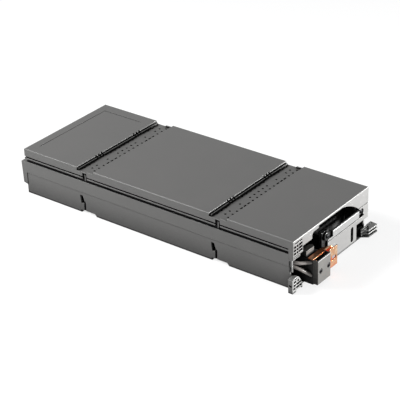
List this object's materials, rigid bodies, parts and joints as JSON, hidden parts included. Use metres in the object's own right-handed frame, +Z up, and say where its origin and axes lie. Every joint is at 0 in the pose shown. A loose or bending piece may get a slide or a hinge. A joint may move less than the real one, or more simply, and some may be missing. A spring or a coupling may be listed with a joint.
{
  "type": "ups battery cartridge",
  "caption": "Long flat black plastic battery cartridge for a rack UPS, with raised panels, perforated decks, a finger grip, corner hooks and a copper contact at the front",
  "frame": {"origin": "Middle of the cover's plan, on the flat underside that the cartridge rests on", "axes": "+X towards the connector end, +Y towards the side away from the connector, +Z up"},
  "size_m": [0.5468, 0.219, 0.079],
  "materials": {
    "cover_abs": "satin black ABS, lightly textured",
    "tray_abs": "satin black ABS, lightly textured",
    "moulded_abs": "satin black ABS",
    "battery_case": "dark grey ABS battery case",
    "tinned_brass": "tinned brass tab",
    "nylon_sleeve": "black nylon sleeve",
    "lead_insulation": "black silicone insulation",
    "foam": "closed cell foam",
    "black_steel": "black oxide steel",
    "glossy_nylon": "glossy black nylon",
    "copper": "bare copper strip",
    "tinned_copper": "tinned copper"
  },
  "bodies": {
    "root": {"bar_bracket": "glossy_nylon", "battery_1": "battery_case", "battery_2": "battery_case", "battery_3": "battery_case", "battery_4": "battery_case", "battery_5": "battery_case", "battery_6": "battery_case", "battery_7": "battery_case", "battery_8": "battery_case", "battery_tabs": "tinned_brass", "cell_link_1": "tinned_copper", "cell_link_2": "tinned_copper", "cell_link_3": "tinned_copper", "cell_link_4": "tinned_copper", "connector_body": "moulded_abs", "connector_cap": "moulded_abs", "connector_screws": "black_steel", "contact_lower": "copper", "contact_upper": "copper", "corner_hook_far": "moulded_abs", "corner_hook_near": "moulded_abs", "cover": "cover_abs", "flag_receptacles": "nylon_sleeve", "foam_pad_front": "foam", "foam_pad_middle": "foam", "foam_pad_rear": "foam", "fuse_block": "glossy_nylon", "grip_bar": "moulded_abs", "grip_screws": "black_steel", "jumper_front": "lead_insulation", "jumper_middle": "lead_insulation", "jumper_rear": "lead_insulation", "lead_lugs": "tinned_copper", "lead_negative": "lead_insulation", "lead_positive": "lead_insulation", "lug_screws": "black_steel", "straight_receptacles": "nylon_sleeve", "tray": "tray_abs"}
  },
  "joints": []
}
